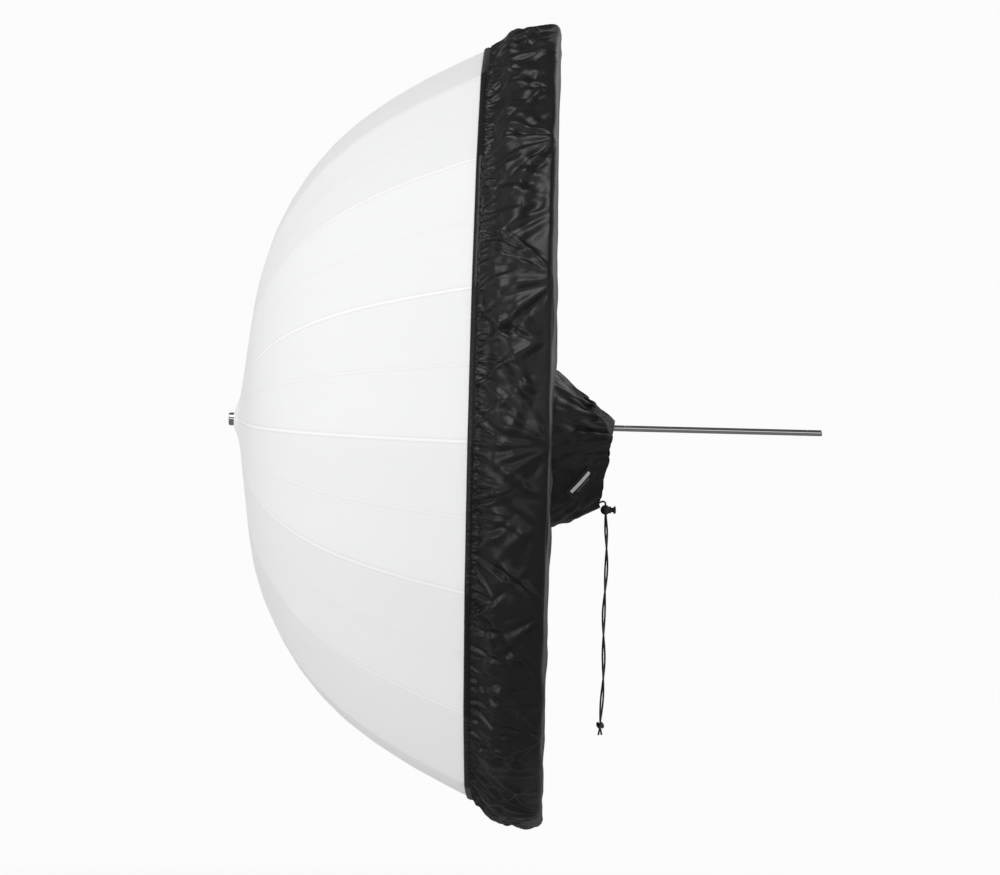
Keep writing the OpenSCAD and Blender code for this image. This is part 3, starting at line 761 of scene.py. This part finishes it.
def fold_list(corner):
    """Folds that fan from each rib tip towards the gathered hem, and looser ones between two tips."""
    folds = []
    for i in range(RIB_COUNT):
        tip = (FIRST_AZ + i * PITCH) * RIM_R
        for k in range(TIP_FOLDS):
            lean = (k / (TIP_FOLDS - 1) - 0.5) * 2.0 + rng.uniform(-0.12, 0.12)
            reach = rng.uniform(0.62, 1.0) * (corner - CASING)
            folds.append(((tip + lean * TIP_SPREAD, corner), (tip + lean * HEM_SPREAD, corner - reach),
                          rng.uniform(0.004, 0.009), FOLD_RISE * rng.uniform(0.45, 1.0)))
        for k in range(LOOSE_FOLDS):
            place = (k + rng.uniform(0.2, 0.8)) / LOOSE_FOLDS
            middle = tip + LOOSE_START + LOOSE_SPAN * place
            lean = (0.5 - place) * 0.07 + rng.normal() * 0.022
            folds.append(((middle + lean, corner - rng.uniform(0.0, 0.02)),
                          (middle - lean, CASING + rng.uniform(0.0, 0.035)),
                          rng.uniform(0.006, 0.013), FOLD_RISE * rng.uniform(0.5, 1.0)))
    return folds


def fold_heights(folds, around, along):
    height = np.zeros_like(along)
    for start, end, width, rise in folds:
        off = (around[0] - start[0] + ROUND / 2) % ROUND - ROUND / 2
        near = np.abs(off) < FOLD_SPAN
        height[:, near] += fold(around[:, near], along[:, near], start, end, width, rise, ROUND)
    return height - EVEN_OUT * height.mean(axis=1, keepdims=True)


def casing_height(from_edge, height):
    """The half-round swelling of a hem over what runs in it."""
    half = CASING / 2
    return height * np.sqrt(np.clip(1 - ((from_edge - half) / half) ** 2, 0, 1))


# ---------------------------------------------------------------- back panel, fine
BAND_FINE, BAND_FINE_ROWS = 8, 4
BACK_FINE, BACK_FINE_ROWS = 4, 2


def catmull_rom(t):
    """Weights of the four points round a place t of the way from the second to the third."""
    return (-t / 2 + t ** 2 - t ** 3 / 2, 1 - 2.5 * t ** 2 + 1.5 * t ** 3,
            t / 2 + 2 * t ** 2 - 1.5 * t ** 3, -t ** 2 / 2 + t ** 3 / 2)


def refine(grid, rows_by, cols_by):
    """A smooth finer grid, closed round its columns."""
    fine = np.zeros((grid.shape[0], grid.shape[1] * cols_by, grid.shape[2]))
    for k in range(cols_by):
        fine[:, k::cols_by] = sum(weight * np.roll(grid, -d, axis=1)
                                  for d, weight in enumerate(catmull_rom(k / cols_by), -1))
    padded = np.concatenate([2 * fine[:1] - fine[1:2], fine, 2 * fine[-1:] - fine[-2:-1]])
    spans = grid.shape[0] - 1
    out = np.zeros((spans * rows_by + 1, *fine.shape[1:]))
    for k in range(rows_by):
        out[k:-1:rows_by] = sum(weight * padded[d:d + spans]
                                for d, weight in enumerate(catmull_rom(k / rows_by)))
    out[-1] = fine[-1]
    return out


def straight_steps(row, cols_by):
    """A closed row of points with cols_by equal steps along each straight side."""
    out = np.zeros((len(row) * cols_by, row.shape[1]))
    for k in range(cols_by):
        out[k::cols_by] = row * (1 - k / cols_by) + np.roll(row, -1, axis=0) * (k / cols_by)
    return out


def panel_cloth(grid, along, length):
    """The cloth of a fine grid; its edge layer holds the distances from the hem and the mouth."""
    around = np.repeat((column_azimuths(grid.shape[1]) * RIM_R)[None, :], grid.shape[0], 0)
    cloth = Cloth(grid, {"cloth": np.column_stack([around.ravel(), along.ravel()]),
                         "edge": np.column_stack([along.ravel(), (length - along).ravel()])})
    return cloth, around


def band_heights(around, along, corner):
    """Gathers from the hem, folds from the rib tips and the casing; also the folds themselves."""
    from_hem = np.maximum(along - CASING, 0)
    height = gathers(around, from_hem, ROUND, spacing=0.0054, reach=(0.008, 0.020),
                     width=(0.0013, 0.0020), rise=(0.0011, 0.0021), slant=0.22, even=0.3)
    height += gathers(around, from_hem, ROUND, spacing=0.017, reach=(0.026, 0.075),
                      width=(0.0028, 0.0052), rise=(0.0018, 0.0034), slant=0.45)
    height -= EVEN_OUT * height.mean(axis=1, keepdims=True)
    folds = fold_list(corner)
    height += fold_heights(folds, around, along)
    height *= np.clip((along - CASING) / 0.003, 0, 1)
    return height + casing_height(along, 0.0018), folds


def back_heights(around, along, from_mouth, folds):
    """The band's folds where they run on, gathers from the mouth and the casing of the cord."""
    mouth_around = around * (MOUTH_R / RIM_R)
    past_casing = np.maximum(from_mouth - CASING, 0)
    height = gathers(mouth_around, past_casing, MOUTH_ROUND, spacing=0.0075, reach=(0.010, 0.026),
                     width=(0.0016, 0.0026), rise=(0.0008, 0.0016), slant=0.2, even=0.3)
    height += gathers(mouth_around, past_casing, MOUTH_ROUND, spacing=0.024, reach=(0.065, 0.110),
                      width=(0.0030, 0.0055), rise=(0.0032, 0.0060), slant=0.10)
    height *= np.clip((from_mouth - CASING) / 0.004, 0, 1)
    return height + casing_height(from_mouth, 0.0016) + fold_heights(folds, around, along)


def lift_off_canopy(points):
    az = np.arctan2(points[:, 1], points[:, 2])
    sunk = canopy_radius(points[:, 0], az) + BAND_CLEAR / 2 - np.hypot(points[:, 1], points[:, 2])
    return points + radial(az) * np.maximum(0.0, sunk * (points[:, 0] < RIM_X))[:, None]


# ---------------------------------------------------------------- label
LABEL_LONG, LABEL_HIGH = 0.044, 0.018
LABEL_THICK, LABEL_LIFT = 0.0005, 0.0009
LABEL_COLS, LABEL_ROWS = 24, 10
LABEL_TURN = math.radians(50)
LABEL_MARGIN = 0.010       # width of the strip of cloth that bends to meet it
LABEL_REACH = 0.02         # depth of cloth behind and in front of it that lies flat


class Patch:
    """A smooth surface fitted to the near side of the sleeve, where the label is sewn on."""

    def __init__(self, sleeve):
        middle = np.array((DISC_X + 0.040, -0.4, MOUTH_Z - 0.026))
        along = np.array((math.cos(LABEL_TURN), 0.0, math.sin(LABEL_TURN)))
        up = np.array((-math.sin(LABEL_TURN), 0.0, math.cos(LABEL_TURN)))
        hits = []
        for a in np.linspace(-LABEL_LONG / 2, LABEL_LONG / 2, 15):
            for b in np.linspace(-LABEL_HIGH / 2, LABEL_HIGH / 2, 9):
                hits.append(sleeve.ray_cast(Vector(middle + along * a + up * b), Vector((0, 1, 0)))[0][:])
        hits = np.array(hits)
        self.middle = hits.mean(axis=0)
        out = np.linalg.svd(hits - self.middle)[2][2]
        self.out = -out if out[1] > 0 else out
        along -= self.out * (along @ self.out)
        self.along = along / np.linalg.norm(along)
        up = np.cross(self.along, self.out)
        self.up = -up if up[2] < 0 else up
        a, b, height = self.place(hits)
        self.fit = np.linalg.lstsq(self.terms(a, b), height, rcond=None)[0]

    def terms(self, a, b):
        return np.column_stack([np.ones_like(a), a, b, a * a, a * b, b * b])

    def place(self, points):
        """Each point's place along and up the patch, and its height over the middle."""
        return [(points - self.middle) @ axis for axis in (self.along, self.up, self.out)]

    def at(self, a, b, lift):
        height = self.terms(a, b) @ self.fit + lift
        return self.middle + np.outer(a, self.along) + np.outer(b, self.up) + np.outer(height, self.out)

    def flatten(self, points):
        """The label is stiffer than the sleeve, so the cloth lies flat under it."""
        a, b, height = self.place(points)
        beyond = np.maximum(np.abs(a) - LABEL_LONG / 2, np.abs(b) - LABEL_HIGH / 2)
        share = smooth_rise(1 - np.maximum(beyond, 0) / LABEL_MARGIN) * (np.abs(height) < LABEL_REACH)
        return points + np.outer((self.terms(a, b) @ self.fit - height) * share, self.out)


def build_label(patch):
    """A blank woven label with a front, a back and a thin edge between them."""
    b, a = np.meshgrid(np.linspace(-LABEL_HIGH / 2, LABEL_HIGH / 2, LABEL_ROWS + 1),
                       np.linspace(-LABEL_LONG / 2, LABEL_LONG / 2, LABEL_COLS + 1), indexing="ij")
    a, b = a.ravel(), b.ravel()
    front = patch.at(a, b, LABEL_LIFT)
    count = len(front)
    faces = grid_faces(LABEL_ROWS + 1, LABEL_COLS + 1, False)
    index = np.arange(count).reshape(LABEL_ROWS + 1, LABEL_COLS + 1)
    rim = np.r_[index[0], index[1:, -1], index[-1, -2::-1], index[-2:0:-1, 0]]
    after = np.roll(rim, -1)
    edge = np.column_stack([rim, after, after + count, rim + count])
    normals = np.vstack([np.tile(patch.out, (count, 1)), np.tile(-patch.out, (count, 1))])
    label = make_mesh("sleeve_label", np.vstack([front, front - patch.out * LABEL_THICK]),
                      np.vstack([faces, faces[:, ::-1] + count, edge]), normals,
                      {"cloth": np.column_stack([np.tile(a, 2), np.tile(b, 2)])},
                      "label_cloth")
    gather_in(label)


# ---------------------------------------------------------------- back panel, built
SECTORS = 64


def gather_in(piece):
    """Carries a rear piece on the panel."""
    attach(piece, "panel")
    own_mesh(piece)


def build_panel():
    """Makes the panel and its label; the lowest point of the mouth, where the cord comes out."""
    rows = panel_rows()
    flat = panel_grid(rows, column_azimuths(PANEL_COLS))
    steps = np.linalg.norm(np.diff(flat, axis=0), axis=2)
    along = np.vstack([np.zeros(PANEL_COLS), np.cumsum(steps, axis=0)])[..., None]
    draped = settle(drape(flat, rows), flat)
    length = float(along[-1].mean())
    corner = float(np.interp(CORNER_X, rows[:RIM_ROWS, 0], along[:RIM_ROWS, 0, 0]))

    band_along = refine(along[:SPLIT + 3], BAND_FINE_ROWS, BAND_FINE)[..., 0]
    band, around = panel_cloth(refine(draped[:SPLIT + 3], BAND_FINE_ROWS, BAND_FINE), band_along, length)
    height, folds = band_heights(around, band_along, corner)
    band.raise_by(height)

    back_along = refine(along[SPLIT - 1:], BACK_FINE_ROWS, BACK_FINE)[BACK_FINE_ROWS:, :, 0]
    back_grid = refine(draped[SPLIT - 1:], BACK_FINE_ROWS, BACK_FINE)[BACK_FINE_ROWS:]
    back, around = panel_cloth(back_grid, back_along, length)
    back.raise_by(back_heights(around, back_along, length - back_along, folds))
    patch = Patch(BVHTree.FromPolygons(back.points.tolist(), back.faces.tolist()))
    back.points = patch.flatten(back.points)

    # the band ends on the first row of the back, whose columns are wider
    seam = SPLIT * BAND_FINE_ROWS * band.cols
    band.points[seam:seam + band.cols] = straight_steps(back.points[:back.cols], BAND_FINE // BACK_FINE)
    band.points = lift_off_canopy(band.points)
    build_band_pieces(band)
    build_back_pieces(back)
    build_label(patch)
    near_mouth = back_grid[-4]
    return near_mouth[np.argmin(near_mouth[:, 2])]


def build_band_pieces(band):
    normals = band.normals()
    wide = RIB_COLS * BAND_FINE
    for i in RIBS:
        piece = band.piece(f"panel_rim_{i:02d}", normals, 0, SPLIT * BAND_FINE_ROWS, (i - 1) * wide,
                           i * wide, "black_cloth")
        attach(piece, f"rib_outer_{i:02d}")
        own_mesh(piece)
        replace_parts(piece, "back_panel")


def build_back_pieces(back):
    normals = back.normals()
    wide = back.cols // SECTORS
    for k, az in enumerate(column_azimuths(SECTORS)):
        piece = back.piece(f"panel_back_{k + 1:02d}", normals, 0, back.rows - 1, k * wide, (k + 1) * wide,
                           "black_cloth")
        gather_in(piece)
        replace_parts(piece, "back_panel")


cord_exit = build_panel()

# ---------------------------------------------------------------- cord
CORD_R = 0.00125
CORD_GAP = 0.0016          # from the middle between the two cords to each
CORD_SIDES = 14
CORD_TURNS = 2.5           # how often the two cords wind round each other
ARCH_RISE = 0.010
LOCK_LO, LOCK_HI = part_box("cord_lock_body")
LOCK_X = LOCK_LO.x + 0.0065
KNOT_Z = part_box("drawcord")[0].z + 0.008
KNOT_R = 0.0019


def cord(name, line, radius=CORD_R):
    """A round cord swept along a line of points."""
    tangents = np.gradient(line, axis=0)
    tangents /= np.linalg.norm(tangents, axis=1)[:, None]
    side = np.array([1.0, 0.0, 0.0])
    turn = np.linspace(0, 2 * math.pi, CORD_SIDES + 1)
    rings = []
    for tangent in tangents:
        side = side - tangent * (side @ tangent)
        side /= np.linalg.norm(side)
        rings.append(np.outer(np.cos(turn), side) + np.outer(np.sin(turn), np.cross(tangent, side)))
    normals = np.concatenate(rings)
    points = np.repeat(line, CORD_SIDES + 1, 0) + radius * normals
    uv = np.column_stack([np.tile(turn / (2 * math.pi), len(line)), np.repeat(lengths(line), CORD_SIDES + 1)])
    made_cord = make_mesh(name, points, grid_faces(len(line), CORD_SIDES + 1, False), normals,
                          {"cloth": uv}, "black_cord")
    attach(made_cord, "cord")
    return made_cord


def tail(side):
    """One of the two cords: in an arch from the mouth to the lock, then wound round the other."""
    z = np.linspace(LOCK_HI.z, KNOT_Z + 0.004, 180)
    t = (z[0] - z) / (z[0] - z[-1])
    sway = (np.sin(t * 9.0) * 0.0018 + 0.003) * np.sin(math.pi * t)
    twist = math.pi * (0.5 if side > 0 else 1.5) + t * CORD_TURNS * 2 * math.pi
    apart = np.clip(t * 8, 0, 1)
    wound = np.column_stack([LOCK_X + sway + CORD_GAP * np.cos(twist) * apart,
                             CORD_GAP * np.sin(twist) * apart + side * CORD_GAP * (1 - apart), z])
    start = np.array([cord_exit[0], side * 0.004, cord_exit[2] + 0.002])
    over = np.array([LOCK_X, side * CORD_GAP, LOCK_HI.z + ARCH_RISE])
    lock = np.array([LOCK_X, side * CORD_GAP, LOCK_HI.z])
    bend = np.linspace(0, 1, 24)[:-1]
    arch = (np.outer((1 - bend) ** 2, start) + np.outer(2 * bend * (1 - bend), over)
            + np.outer(bend ** 2, lock))
    return np.vstack([arch, wound])


def knot():
    """A trefoil, pulled tight."""
    a = np.linspace(0, 2 * math.pi, 200)
    return np.column_stack([LOCK_X + KNOT_R * (np.sin(a) + 2 * np.sin(2 * a)) * 0.75,
                            KNOT_R * (np.cos(a) - 2 * np.cos(2 * a)) * 0.75,
                            KNOT_Z - 0.0028 * np.sin(3 * a)])


def cord_end(side):
    t = np.linspace(0, 1, 30)
    return np.column_stack([LOCK_X + side * 0.0022 * t, side * 0.0015 * (1 + t), KNOT_Z - 0.002 - 0.011 * t])


for letter, way in (("a", -1), ("b", 1)):
    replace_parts(cord(f"cord_tail_{letter}", tail(way)), "drawcord")
cord("cord_knot", knot(), CORD_R * 1.15)
for letter, way in (("a", -1), ("b", 1)):
    cord(f"cord_end_{letter}", cord_end(way))

# ---------------------------------------------------------------- stage, light, camera
BACKDROP = 0.97
SKY = 0.62
MIDDLE = Vector((-0.45, 0, 0))
FLOOR_Z, FLOOR_HALF = -0.95, 30.0
AIM = Vector((-0.4064, 0, -0.016))
DISTANCE = 6.5
WIDTH = 1.326
SENSOR = 36
ROLL = math.radians(1.4)
TURN = math.radians(0.8)


def studio_sky():
    """A white backdrop, a soft sky that lights the cloth, and a darker room with a bright band in
    front and at the ends for what shines."""
    world = bpy.data.worlds.new("studio")
    bpy.context.scene.world = world
    n = Nodes(world)
    x, y, z = n.add("ShaderNodeSeparateXYZ", {0: n.coordinates("Generated")}).outputs
    lit = n.background(n.mix(n.step(y, -0.3, -0.95), grey(1.06), grey(0.74)), SKY)
    front = n.scaled(n.step(y, -0.45, -0.8), 0.6, 0.4)
    front = n.times(front, n.step(n.size(z), 0.46, 0.26))
    ends = n.times(n.step(n.size(x), 0.5, 0.8), n.step(z, -0.3, 0.5))
    tone = n.larger(front, n.times(ends, 0.25))
    mirrored = n.background(n.mix(tone, grey(0.09), grey(0.95)), 1.0)
    soft = n.mix_shader(n.ray("Glossy"), lit, mirrored)
    seen = n.background(grey(BACKDROP), 1.0)
    n.finish(n.mix_shader(n.ray("Camera"), soft, seen), "ShaderNodeOutputWorld")


def studio_floor(n):
    """Pale and matt, as bright as the backdrop far away, and dark in what shines."""
    matt = n.principled(grey(0.92), 0.9)
    place = n.add("ShaderNodeNewGeometry").outputs["Position"]
    distance = n.add("ShaderNodeVectorMath", {0: place}, operation="LENGTH").outputs["Value"]
    seen = n.mix_shader(n.step(distance, 1.5, 4.5), matt, n.glow(BACKDROP))
    n.finish(n.mix_shader(n.ray("Glossy"), seen, n.glow(0.18)))


def build_floor():
    mesh = bpy.data.meshes.new("studio_floor")
    corners = [(x * FLOOR_HALF, y * FLOOR_HALF, FLOOR_Z) for x, y in ((-1, -1), (1, -1), (1, 1), (-1, 1))]
    mesh.from_pydata(corners, [], [(0, 1, 2, 3)])
    mesh.materials.append(made(studio_floor))
    placed("studio_floor", mesh)


def area_light(name, place, size, power):
    """A soft rectangular light, aimed at the middle of the umbrella."""
    lamp = bpy.data.lights.new(name, "AREA")
    lamp.shape = "RECTANGLE"
    lamp.size, lamp.size_y = size
    lamp.energy = power
    light = placed(name, lamp)
    light.location = place
    light.rotation_euler = (MIDDLE - Vector(place)).to_track_quat("-Z", "Y").to_euler()


def build_camera():
    """Nearly along +Y, from far enough away that the umbrella looks almost flat."""
    data = bpy.data.cameras.new("camera")
    data.sensor_width = SENSOR
    data.lens = SENSOR * DISTANCE / WIDTH
    data.clip_end = 100
    camera = placed("camera", data)
    back = Vector((math.sin(TURN), -math.cos(TURN), 0))
    camera.location = AIM + back * DISTANCE
    camera.rotation_mode = "QUATERNION"
    camera.rotation_quaternion = ((-back).to_track_quat("-Z", "Y")
                                  @ Matrix.Rotation(ROLL, 4, "Z").to_quaternion())
    bpy.context.scene.camera = camera


studio_sky()
build_floor()
area_light("key", (-1.5, -1.8, 3.3), (1.8, 1.8), 52)
area_light("fill", (-2.6, -2.0, -0.8), (1.6, 2.4), 32)
area_light("rear", (1.8, 2.0, 1.8), (2.0, 2.0), 20)
build_camera()
bpy.context.scene.view_settings.view_transform = "Standard"
